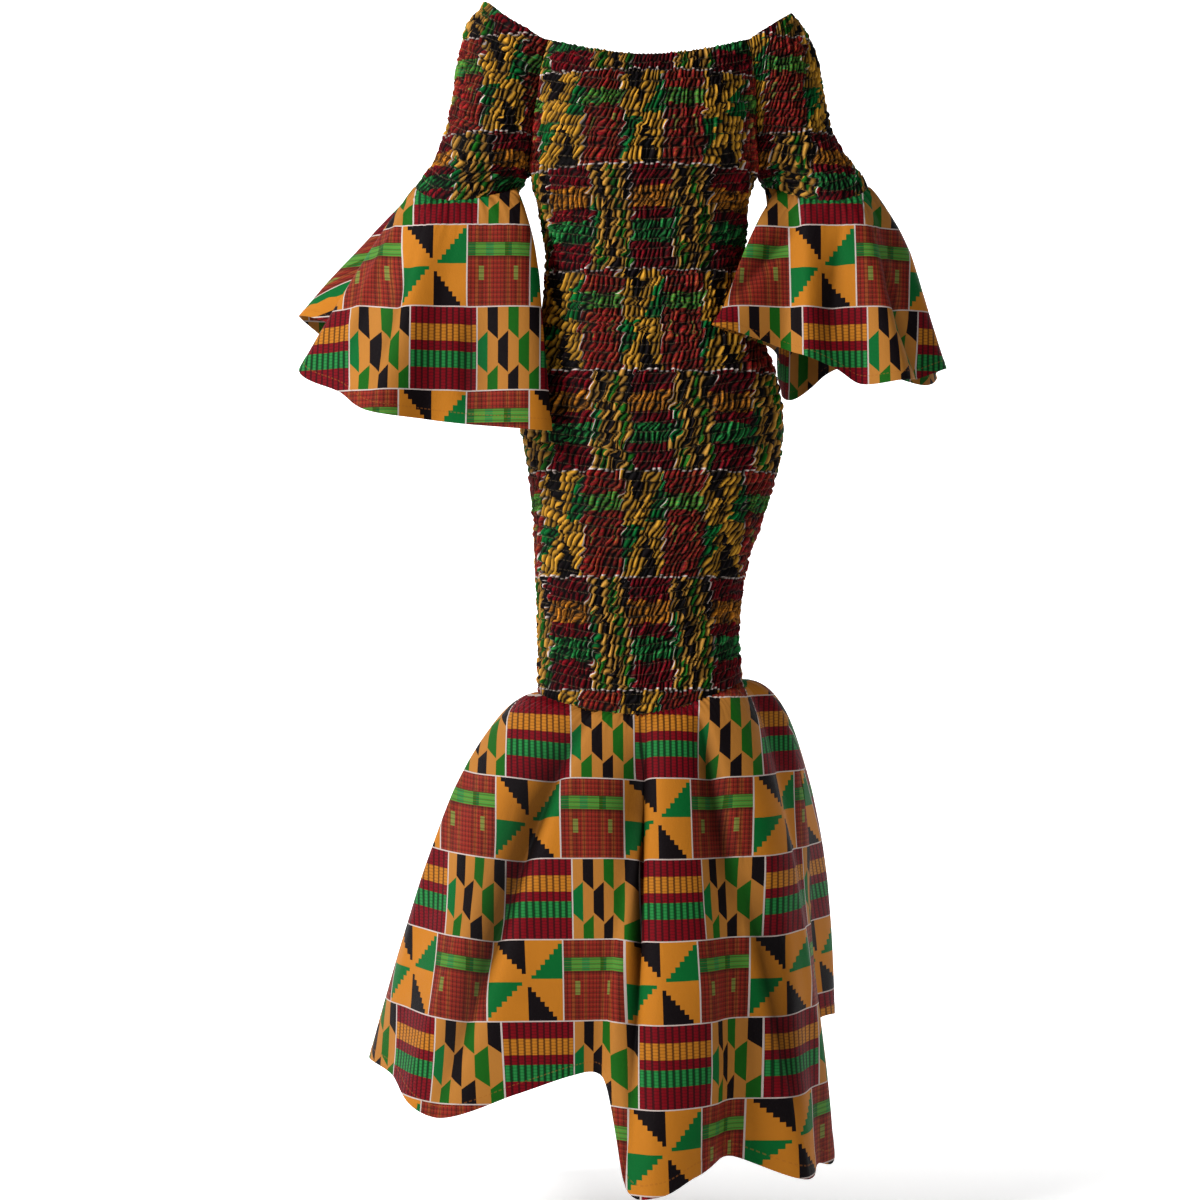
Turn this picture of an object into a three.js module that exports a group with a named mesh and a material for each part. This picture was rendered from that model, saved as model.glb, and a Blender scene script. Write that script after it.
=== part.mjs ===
// An off-shoulder mermaid dress in printed cotton, standing as it is worn, with nobody in it.
//
// The body is one long tube of elastic smocking, a front and a back panel, from the bust to the knee.
// Two smocked sleeves join it at the armholes and complete the neckline. A bell flounce is sewn to each
// sleeve, and a wide flounce, cut as a front and a back, is sewn round the knee.
//
// Millimetres, +Z up. The front faces -Y, the wearer's right is -X. The origin is the middle of the
// bust, where the wearer's body holds the dress.
import * as THREE from "three";

// ---------------------------------------------------------------- driving sizes
const CLOTH = 2; // wall: cotton with its gathers pressed flat
const SEAM_GAP = 0.8; // between two pieces sewn together
const ROUNDNESS = 2.3; // exponent of the body's sections: 2 is an ellipse, more is squarer
const RING_STEPS = 240; // samples that a fluted ring is measured with
const MIDDLE = 3.5; // X of the plane halfway between the arms
const DEGREE = Math.PI / 180;

// The body tube, a row for each level: middle, half width, and depth before and behind the side seams.
const BODY = [
  { z: 115, middle: 8, half: 150, front: 78, back: 78 },
  { z: 50, middle: 8, half: 144, front: 102, back: 87 },
  { z: -20, middle: 5, half: 137, front: 118, back: 91 }, // bust
  { z: -68, middle: 4, half: 133, front: 112, back: 88 },
  { z: -100, middle: 3, half: 124, front: 105, back: 86 },
  { z: -130, middle: 5, half: 121, front: 98, back: 84 },
  { z: -168, middle: 6, half: 117, front: 92, back: 84 }, // waist
  { z: -240, middle: 10, half: 128, front: 96, back: 98 },
  { z: -312, middle: 13, half: 148, front: 104, back: 114 },
  { z: -365, middle: 14, half: 155, front: 107, back: 124 }, // hip
  { z: -420, middle: 15, half: 147, front: 106, back: 123 },
  { z: -475, middle: 10, half: 136, front: 104, back: 114 },
  { z: -533, middle: 1, half: 125, front: 100, back: 102 },
  { z: -600, middle: -2, half: 119, front: 96, back: 94 },
  { z: -650, middle: -1, half: 119, front: 95, back: 92 }, // knee
  { z: -715, middle: 3, half: 125, front: 99, back: 96 },
];

// The armhole: how far round the body, in degrees from its side seam, the panel has been cut away.
const UNDERARM_Z = -64;
const ARMHOLE = [
  { z: UNDERARM_Z, front: 0, back: 0 },
  { z: -50, front: 8, back: 8 },
  { z: -20, front: 16, back: 17 },
  { z: 30, front: 23, back: 26 },
  { z: 95, front: 28, back: 32 },
  { z: 140, front: 30, back: 34 },
];

// The neckline across a body panel, from its middle to its armholes.
const NECKLINE = {
  front: { middle: 59, side: 84 },
  back: { middle: 60, side: 86 },
};

// The seam where the smocked tube ends and the flounce begins, in depth below the side seams.
const FLARE_SEAM = { z: -680, frontDip: 28, backDip: 14, tilt: 8 };

// A sleeve, a row for each level: how far the outside of the right and of the left arm reaches from
// MIDDLE, how far the inside of either does, the half depth, and how far round the arm, in degrees
// from its outside, the cloth goes to each edge.
const SLEEVE = [
  { z: 140, right: 188, left: 164, inner: 50, depth: 60, wrap: 100 },
  { z: 112, right: 208, left: 187, inner: 61, depth: 64, wrap: 102 },
  { z: 70, right: 219, left: 206, inner: 81, depth: 64, wrap: 112 },
  { z: 14, right: 228, left: 217, inner: 106, depth: 60, wrap: 132 },
  { z: -29, right: 239, left: 230, inner: 127, depth: 57, wrap: 158 },
  { z: UNDERARM_Z, right: 256, left: 255, inner: 139, depth: 56, wrap: 180 },
  { z: -84, right: 275, left: 271, inner: 147, depth: 58, wrap: 180 },
  { z: -112, right: 292, left: 287, inner: 151, depth: 61, wrap: 180 },
];
// The sleeve's top edge, from the front armhole over the point of the shoulder to the back one.
const SLEEVE_TOP = [
  { wrap: -1, rise: 0 },
  { wrap: -0.8, rise: 0.26 },
  { wrap: -0.5, rise: 0.69 },
  { wrap: -0.2, rise: 0.94 },
  { wrap: 0, rise: 1 },
  { wrap: 0.2, rise: 0.94 },
  { wrap: 0.5, rise: 0.54 },
  { wrap: 0.8, rise: 0.14 },
  { wrap: 1, rise: 0 },
];
const SLEEVE_HEM = { z: -82, dip: 24 };

// The two arms differ a little: the wearer's left elbow is bent, so its bell is shorter and swings
// forward. Bell rows go round from the outside (0) by the front (90) to the body (180): the reach of
// the hem from its own middle, and the hem's height. A far reach is a ridge and a near one a valley.
const ARMS = [
  {
    name: "right",
    side: -1,
    peak: 139,
    puff: { outside: 0.9, inside: 0.4 },
    hemMiddle: { x: -262, y: 0 },
    bell: [
      { angle: 0, reach: 106, hem: -251 },
      { angle: 22, reach: 152, hem: -306 },
      { angle: 47, reach: 126, hem: -336 },
      { angle: 72, reach: 152, hem: -360 },
      { angle: 98, reach: 124, hem: -368 },
      { angle: 120, reach: 146, hem: -374 },
      { angle: 144, reach: 194, hem: -380 },
      { angle: 161, reach: 126, hem: -372 },
      { angle: 180, reach: 106, hem: -364 },
      { angle: 205, reach: 124, hem: -358 },
      { angle: 228, reach: 146, hem: -352 },
      { angle: 252, reach: 120, hem: -344 },
      { angle: 277, reach: 150, hem: -324 },
      { angle: 300, reach: 122, hem: -298 },
      { angle: 321, reach: 144, hem: -264 },
      { angle: 342, reach: 161, hem: -230 },
    ],
  },
  {
    name: "left",
    side: 1,
    peak: 124,
    puff: { outside: 0.7, inside: 0.8 },
    hemMiddle: { x: 244, y: 2 },
    bell: [
      { angle: 0, reach: 112, hem: -303 },
      { angle: 20, reach: 126, hem: -302 },
      { angle: 42, reach: 112, hem: -316 },
      { angle: 64, reach: 140, hem: -321 },
      { angle: 85, reach: 116, hem: -326 },
      { angle: 99, reach: 122, hem: -308 },
      { angle: 112, reach: 140, hem: -295 },
      { angle: 127, reach: 132, hem: -284 },
      { angle: 143, reach: 204, hem: -258 },
      { angle: 151, reach: 138, hem: -268 },
      { angle: 160, reach: 96, hem: -276 },
      { angle: 180, reach: 78, hem: -288 },
      { angle: 203, reach: 84, hem: -298 },
      { angle: 224, reach: 100, hem: -314 },
      { angle: 246, reach: 130, hem: -327 },
      { angle: 264, reach: 104, hem: -296 },
      { angle: 282, reach: 134, hem: -284 },
      { angle: 302, reach: 112, hem: -296 },
      { angle: 322, reach: 136, hem: -311 },
      { angle: 341, reach: 124, hem: -308 },
    ],
  },
];

// The flounce at the knee. Its hem is an oval with a flute for each row: angle from the wearer's right
// (0) by the front (90), how far the ridge swells or the valley sinks from the oval, its height, and
// belly, the power of the profile from the seam to the hem: low swells at once, 1 hangs straight.
const FLOUNCE = { middle: -44, half: 284, front: 226, back: 246, fluteGrowth: 1.25, rowCrowding: 1.5 };
const FLUTES = [
  { angle: 0, swell: -3, hem: -1124, belly: 0.46 },
  { angle: 20, swell: -20, hem: -1130, belly: 0.47 },
  { angle: 47, swell: 18, hem: -1158, belly: 0.52 },
  { angle: 64, swell: -14, hem: -1132, belly: 0.6 },
  { angle: 80, swell: -32, hem: -1112, belly: 0.64 },
  { angle: 89, swell: -36, hem: -1112, belly: 0.64 },
  { angle: 92, swell: -14, hem: -1136, belly: 0.62 },
  { angle: 95, swell: 22, hem: -1222, belly: 0.6 },
  { angle: 102, swell: 44, hem: -1234, belly: 0.56 },
  { angle: 113, swell: 26, hem: -1216, belly: 0.56 },
  { angle: 129, swell: -26, hem: -1206, belly: 0.56 },
  { angle: 143, swell: 16, hem: -1234, belly: 0.56 },
  { angle: 157, swell: -10, hem: -1230, belly: 0.6 },
  { angle: 168, swell: -6, hem: -1226, belly: 0.66 },
  { angle: 179, swell: -38, hem: -1100, belly: 0.45 },
  { angle: 196, swell: 9, hem: -1084, belly: 0.41 },
  { angle: 216, swell: -26, hem: -1112, belly: 0.46 },
  { angle: 238, swell: 34, hem: -1156, belly: 0.52 },
  { angle: 261, swell: -32, hem: -1148, belly: 0.58 },
  { angle: 284, swell: 36, hem: -1164, belly: 0.56 },
  { angle: 307, swell: -30, hem: -1150, belly: 0.54 },
  { angle: 330, swell: 24, hem: -1158, belly: 0.48 },
  { angle: 346, swell: -14, hem: -1138, belly: 0.47 },
];

// Facets of each piece: across and down.
const FACETS = {
  body: { across: 14, down: 28 },
  sleeve: { across: 24, down: 8 },
  bell: { across: 34, down: 5 },
  flounce: { across: 36, down: 9 },
};

// Colours of the print at a distance: smocked cloth is darker, because its gathers hold shade.
const SMOCKED = new THREE.MeshStandardMaterial({ color: 0x6e3a16, roughness: 0.85, metalness: 0 });
const PLAIN = new THREE.MeshStandardMaterial({ color: 0xb4661f, roughness: 0.75, metalness: 0 });

// ---------------------------------------------------------------- reading tables
// A smooth curve through one column of a table, with level ends.
function read(rows, along, column, at) {
  const order = Math.sign(rows[1][along] - rows[0][along]);
  const from = rows.findLastIndex((row) => order * (at - row[along]) >= 0);
  const i = THREE.MathUtils.clamp(from, 0, rows.length - 2);
  const [a, b] = [rows[i], rows[i + 1]];
  const step = b[along] - a[along];
  const x = THREE.MathUtils.clamp((at - a[along]) / step, 0, 1);
  const slope = (left, right) =>
    left && right ? ((right[column] - left[column]) / (right[along] - left[along])) * step : 0;
  const [slopeA, slopeB] = [slope(rows[i - 1], b), slope(a, rows[i + 2])];
  const [x2, x3] = [x * x, x * x * x];
  return (
    (2 * x3 - 3 * x2 + 1) * a[column] +
    (x3 - 2 * x2 + x) * slopeA +
    (3 * x2 - 2 * x3) * b[column] +
    (x3 - x2) * slopeB
  );
}

// The same round a full turn, for a table by angle in degrees that starts at 0.
function readRound(rows, column, angle) {
  const turned = (row, turn) => ({ ...row, angle: row.angle + turn });
  const round = [turned(rows.at(-1), -360), ...rows, turned(rows[0], 360), turned(rows[1], 360)];
  return read(round, "angle", column, THREE.MathUtils.euclideanModulo(angle, 360));
}

// Distance from the middle to a squared-off oval, at an angle from the wearer's right by the front.
function ovalRadius(oval, angle) {
  const [c, s] = [Math.cos(angle * DEGREE), Math.sin(angle * DEGREE)];
  const depth = s > 0 ? oval.front : oval.back;
  const sum = Math.abs(c / oval.half) ** ROUNDNESS + Math.abs(s / depth) ** ROUNDNESS;
  return sum ** (-1 / ROUNDNESS);
}

// ---------------------------------------------------------------- the cloth's surfaces
// A level of the body, read from the table.
function bodyOval(z) {
  const oval = {};
  for (const column of ["middle", "half", "front", "back"]) oval[column] = read(BODY, "z", column, z);
  return oval;
}

function bodyPoint(angle, z) {
  const oval = bodyOval(z);
  const r = ovalRadius(oval, angle);
  return new THREE.Vector3(
    oval.middle - r * Math.cos(angle * DEGREE),
    -r * Math.sin(angle * DEGREE),
    z,
  );
}

function flareSeamZ(angle) {
  const [c, s] = [Math.cos(angle * DEGREE), Math.sin(angle * DEGREE)];
  const dip = s > 0 ? FLARE_SEAM.frontDip : FLARE_SEAM.backDip;
  return FLARE_SEAM.z - dip * s * s - FLARE_SEAM.tilt * c;
}

// How far the armhole cuts into a body panel at a height, in degrees.
function armholeAngle(z, face) {
  return z <= UNDERARM_Z ? 0 : read(ARMHOLE, "z", face, z);
}

// A body panel: across 0 to 1 from the wearer's right to the left, up 0 to 1 from the flare seam.
function bodyPanel(face) {
  const turn = face === "front" ? 1 : -1;
  return (across, up) => {
    const fromMiddle = Math.abs(2 * across - 1);
    const top = THREE.MathUtils.lerp(NECKLINE[face].middle, NECKLINE[face].side, fromMiddle ** 2);
    const bottom = flareSeamZ(turn * 180 * across) + SEAM_GAP;
    const z = THREE.MathUtils.lerp(bottom, top, up);
    const edge = armholeAngle(z, face) + SEAM_GAP / 2 / bodyOval(z).half / DEGREE;
    return bodyPoint(turn * THREE.MathUtils.lerp(edge, 180 - edge, across), z);
  };
}

// A sleeve's surface: wrap -1 to 1 from the front armhole round the outside to the back one.
function sleevePoint(arm, wrap, z) {
  const outer = read(SLEEVE, "z", arm.name, z);
  const inner = read(SLEEVE, "z", "inner", z);
  const depth = read(SLEEVE, "z", "depth", z);
  const [middle, half] = [(outer + inner) / 2, (outer - inner) / 2];
  const limit = read(SLEEVE, "z", "wrap", z);
  const at = (degrees) =>
    new THREE.Vector3(
      MIDDLE + arm.side * (middle + half * Math.cos(degrees * DEGREE)),
      depth * Math.sin(degrees * DEGREE),
      z,
    );
  const point = at(wrap * limit);
  if (z <= UNDERARM_Z) return point;
  // Above the underarm the sleeve's edges bend to meet the armhole.
  const face = wrap < 0 ? "front" : "back";
  const cut = armholeAngle(z, face) - SEAM_GAP / 2 / bodyOval(z).half / DEGREE;
  const fromRight = arm.side < 0 ? cut : 180 - cut;
  const armhole = bodyPoint(face === "front" ? fromRight : -fromRight, z);
  const pull = armhole.sub(at(Math.sign(wrap) * limit));
  return point.addScaledVector(pull, Math.abs(wrap) ** 3);
}

function sleeveHemZ(wrap) {
  return SLEEVE_HEM.z - SLEEVE_HEM.dip * Math.sin(wrap * Math.PI) ** 2;
}

function sleeve(arm) {
  const seam = NECKLINE.front.side;
  return (across, up) => {
    // The edges stop short of each other by the underarm seam's gap.
    const wrap = (2 * across - 1) * (1 - SEAM_GAP / SLEEVE.at(-1).right);
    const top = seam + (arm.peak - seam) * read(SLEEVE_TOP, "wrap", "rise", wrap);
    return sleevePoint(arm, wrap, THREE.MathUtils.lerp(sleeveHemZ(wrap), top, up));
  };
}

// A bell hangs from the sleeve's lower edge. Each strand runs from there to its own place on the hem.
function bellPoint(arm, angle, down) {
  const wrap = -angle / 180;
  const top = sleevePoint(arm, wrap, sleeveHemZ(wrap) - SEAM_GAP);
  const reach = readRound(arm.bell, "reach", angle);
  const [c, s] = [Math.cos(angle * DEGREE), Math.sin(angle * DEGREE)];
  const hem = new THREE.Vector3(
    arm.hemMiddle.x + arm.side * reach * c,
    arm.hemMiddle.y - reach * s,
    readRound(arm.bell, "hem", angle),
  );
  const spread = down ** THREE.MathUtils.lerp(arm.puff.inside, arm.puff.outside, (1 + c) / 2);
  return new THREE.Vector3(
    THREE.MathUtils.lerp(top.x, hem.x, spread),
    THREE.MathUtils.lerp(top.y, hem.y, spread),
    THREE.MathUtils.lerp(top.z, hem.z, down),
  );
}

// The flounce swells at once below its seam, and its flutes grow towards the hem.
function flouncePoint(angle, down) {
  const z = THREE.MathUtils.lerp(flareSeamZ(angle), readRound(FLUTES, "hem", angle), down);
  const seam = bodyOval(flareSeamZ(angle));
  const spread = down ** readRound(FLUTES, "belly", angle);
  const r =
    THREE.MathUtils.lerp(ovalRadius(seam, angle), ovalRadius(FLOUNCE, angle), spread) +
    readRound(FLUTES, "swell", angle) * down ** FLOUNCE.fluteGrowth;
  const middle = THREE.MathUtils.lerp(seam.middle, FLOUNCE.middle, down);
  return new THREE.Vector3(
    middle - r * Math.cos(angle * DEGREE),
    -r * Math.sin(angle * DEGREE),
    z,
  );
}

// Spaces a sheet's columns evenly along its rings: surface(angle, down) becomes sheet(across, up).
function evenly(surface, from, to) {
  const rings = new Map();
  const measure = (down) => {
    if (rings.has(down)) return rings.get(down);
    const ring = [{ angle: from, length: 0, point: surface(from, down) }];
    for (let i = 1; i <= RING_STEPS; i++) {
      const angle = THREE.MathUtils.lerp(from, to, i / RING_STEPS);
      const point = surface(angle, down);
      const length = ring[i - 1].length + point.distanceTo(ring[i - 1].point);
      ring.push({ angle, length, point });
    }
    rings.set(down, ring);
    return ring;
  };
  return (across, up) => {
    const ring = measure(1 - up);
    const wanted = across * ring.at(-1).length;
    const i = THREE.MathUtils.clamp(
      ring.findLastIndex((step) => step.length <= wanted),
      0,
      RING_STEPS - 1,
    );
    const share = (wanted - ring[i].length) / (ring[i + 1].length - ring[i].length);
    return surface(THREE.MathUtils.lerp(ring[i].angle, ring[i + 1].angle, share), 1 - up);
  };
}

// ---------------------------------------------------------------- cloth with a wall
// A closed wall on sheet(across, up), whose inner side lies CLOTH behind the outer one. Pieces meet edge
// to edge, so the wall keeps level along its top and bottom rims, and keeps to the plane Y = 0 of the
// side and underarm seams. facing is 1 where the sheet's outside is on the side that across x up
// points to, and -1 where it is on the other.
function wall(name, sheet, facets, material, facing) {
  const { across: columns, down: rows } = facets;
  const step = 1e-3; // for the normal's derivatives
  const outer = [];
  const inner = [];
  for (let j = 0; j <= rows; j++) {
    for (let i = 0; i <= columns; i++) {
      const [a, u] = [i / columns, j / rows];
      const [a0, a1] = [Math.max(0, a - step), Math.min(1, a + step)];
      const [u0, u1] = [Math.max(0, u - step), Math.min(1, u + step)];
      const along = sheet(a1, u).sub(sheet(a0, u));
      const upwards = sheet(a, u1).sub(sheet(a, u0));
      const normal = along.cross(upwards).multiplyScalar(facing);
      const point = sheet(a, u);
      if (j === 0 || j === rows) normal.setZ(0);
      if (Math.abs(point.y) < SEAM_GAP) normal.setY(0);
      normal.normalize();
      outer.push(point);
      inner.push(point.clone().addScaledVector(normal, -CLOTH));
    }
  }
  const points = [...outer, ...inner];
  const back = outer.length;
  const index = [];
  const quad = (a, b, c, d) => index.push(a, b, c, a, c, d);
  const at = (i, j) => j * (columns + 1) + i;
  for (let j = 0; j < rows; j++) {
    for (let i = 0; i < columns; i++) {
      const [p, q, r, s] = [at(i, j), at(i + 1, j), at(i + 1, j + 1), at(i, j + 1)];
      quad(p, q, r, s);
      quad(back + s, back + r, back + q, back + p);
    }
  }
  for (let i = 0; i < columns; i++) {
    quad(at(i + 1, 0), at(i, 0), back + at(i, 0), back + at(i + 1, 0));
    quad(at(i, rows), at(i + 1, rows), back + at(i + 1, rows), back + at(i, rows));
  }
  for (let j = 0; j < rows; j++) {
    quad(at(0, j), at(0, j + 1), back + at(0, j + 1), back + at(0, j));
    quad(at(columns, j + 1), at(columns, j), back + at(columns, j), back + at(columns, j + 1));
  }
  if (facing < 0) index.reverse();
  const geometry = new THREE.BufferGeometry().setFromPoints(points).setIndex(index);
  geometry.computeVertexNormals();
  const mesh = new THREE.Mesh(geometry, material);
  mesh.name = name;
  return mesh;
}

// ---------------------------------------------------------------- the pieces
const dress = new THREE.Group();

dress.add(wall("bodice_front", bodyPanel("front"), FACETS.body, SMOCKED, 1));
dress.add(wall("bodice_back", bodyPanel("back"), FACETS.body, SMOCKED, -1));

for (const arm of ARMS) {
  dress.add(wall("sleeve_" + arm.name, sleeve(arm), FACETS.sleeve, SMOCKED, arm.side));
  const slit = SEAM_GAP / 2;
  const bell = evenly((angle, down) => bellPoint(arm, angle, down), 180 - slit, slit - 180);
  dress.add(wall("bell_" + arm.name, bell, FACETS.bell, PLAIN, arm.side));
}

const side = SEAM_GAP / 2 / BODY.at(-1).half / DEGREE;
const flounceSheet = (from, to) => {
  const below = (angle, down) => flouncePoint(angle, down ** FLOUNCE.rowCrowding);
  return evenly(below, from, to);
};
dress.add(wall("flounce_front", flounceSheet(side, 180 - side), FACETS.flounce, PLAIN, 1));
dress.add(wall("flounce_back", flounceSheet(-side, side - 180), FACETS.flounce, PLAIN, -1));

export default dress;
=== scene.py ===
# An off-shoulder mermaid dress in kente-printed cotton, standing as it is worn, with nobody in it.
# Metres, +Z up, the front towards -Y and the wearer's right towards -X.
import math
from collections import namedtuple

import bmesh
import bpy
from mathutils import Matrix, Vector, noise


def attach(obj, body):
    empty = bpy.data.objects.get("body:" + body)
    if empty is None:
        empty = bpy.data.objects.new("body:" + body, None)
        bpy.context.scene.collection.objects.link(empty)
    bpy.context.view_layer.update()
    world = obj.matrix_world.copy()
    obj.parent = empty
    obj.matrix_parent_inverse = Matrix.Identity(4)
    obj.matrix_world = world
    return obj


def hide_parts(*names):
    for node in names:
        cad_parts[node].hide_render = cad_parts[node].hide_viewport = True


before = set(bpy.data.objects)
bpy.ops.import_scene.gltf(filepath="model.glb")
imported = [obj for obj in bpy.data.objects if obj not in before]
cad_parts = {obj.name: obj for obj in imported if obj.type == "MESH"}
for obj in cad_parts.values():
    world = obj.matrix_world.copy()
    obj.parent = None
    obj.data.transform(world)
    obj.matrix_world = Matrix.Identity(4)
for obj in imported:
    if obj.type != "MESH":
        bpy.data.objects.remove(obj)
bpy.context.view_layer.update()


# ---------------------------------------------------------------- the printed cotton
# Plain-woven cotton, printed on one side in blocks after kente strip weaving. Two kinds of row take
# turns: ribbed stripes beside a hexagon of bars, and a stepped pinwheel beside a plaid. The same cloth
# is used flat in the bells and the flounce, and gathered on elastic in the bodice and the sleeves.
PAIR = 0.150  # two blocks across, on the flat cloth
ROW = 0.0987  # one block down
LEFT_BLOCK = 0.51  # the left block's share of a pair
RIBS = 11
BEADS = 26  # on a rib
BARS = 6
PINWHEEL_STEPS = 7
PINWHEEL_GAP = 0.06  # from the middle of a pinwheel to its green vanes
THREAD = 0.0006


def dye(red, green, blue):
    """A colour given as it looks, from 0 to 255, in the values that light is reckoned in."""
    parts = [value / 255 for value in (red, green, blue)]
    return (*[p / 12.92 if p <= 0.04045 else ((p + 0.055) / 1.055) ** 2.4 for p in parts], 1)


ORANGE = dye(222, 138, 37)
MAROON = dye(142, 6, 24)
RIB_GREEN = dye(46, 152, 74)
GREEN = dye(2, 116, 50)
LEAF_GREEN = dye(28, 108, 22)
BLACK = dye(18, 8, 12)
BORDER = dye(232, 214, 206)
RUST = dye(166, 42, 34)
BROWN = dye(112, 32, 22)
LIME = dye(138, 164, 76)
GRASS = dye(84, 164, 62)
TAN = dye(170, 96, 42)
STRAW = dye(186, 136, 78)


class Chart:
    """A node group worked out by calculation: numbers and sockets go in, a socket comes out."""

    def __init__(self, name, inputs, outputs):
        self.tree = bpy.data.node_groups.new(name, "ShaderNodeTree")
        for label, kind, value in inputs:
            socket = self.tree.interface.new_socket(label, in_out="INPUT", socket_type=kind)
            if value is not None:
                socket.default_value = value
        for label, kind in outputs:
            self.tree.interface.new_socket(label, in_out="OUTPUT", socket_type=kind)
        self.given = self.tree.nodes.new("NodeGroupInput").outputs
        self.result = self.tree.nodes.new("NodeGroupOutput").inputs

    def feed(self, socket, value):
        if isinstance(value, bpy.types.NodeSocket):
            self.tree.links.new(value, socket)
        else:
            socket.default_value = value

    def calc(self, operation, *values):
        node = self.tree.nodes.new("ShaderNodeMath")
        node.operation = operation
        for socket, value in zip(node.inputs, values):
            self.feed(socket, value)
        return node.outputs[0]

    def below(self, a, b):
        return self.calc("LESS_THAN", a, b)

    def both(self, a, b):
        return self.calc("MULTIPLY", a, b)

    def band(self, value, low, high):
        return self.both(self.calc("GREATER_THAN", value, low), self.below(value, high))

    def near(self, value, middle, reach):
        """1 where the value is within reach of the middle."""
        return self.calc("COMPARE", value, middle, reach)

    def flip(self, mask):
        return self.calc("SUBTRACT", 1, mask)

    def paint(self, under, over, mask):
        node = self.tree.nodes.new("ShaderNodeMix")
        node.data_type = "RGBA"
        self.feed(node.inputs["Factor"], mask)
        self.feed(node.inputs[6], under)
        self.feed(node.inputs[7], over)
        return node.outputs[2]

    def stripes(self, value, *steps):
        """Colours that change sharply at the given places."""
        node = self.tree.nodes.new("ShaderNodeValToRGB")
        ramp = node.color_ramp
        ramp.interpolation = "CONSTANT"
        while len(ramp.elements) < len(steps):
            ramp.elements.new(0.5)
        for element, (at, colour) in zip(ramp.elements, steps):
            element.position = at
            element.color = colour
        self.feed(node.inputs["Fac"], value)
        return node.outputs["Color"]


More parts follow.
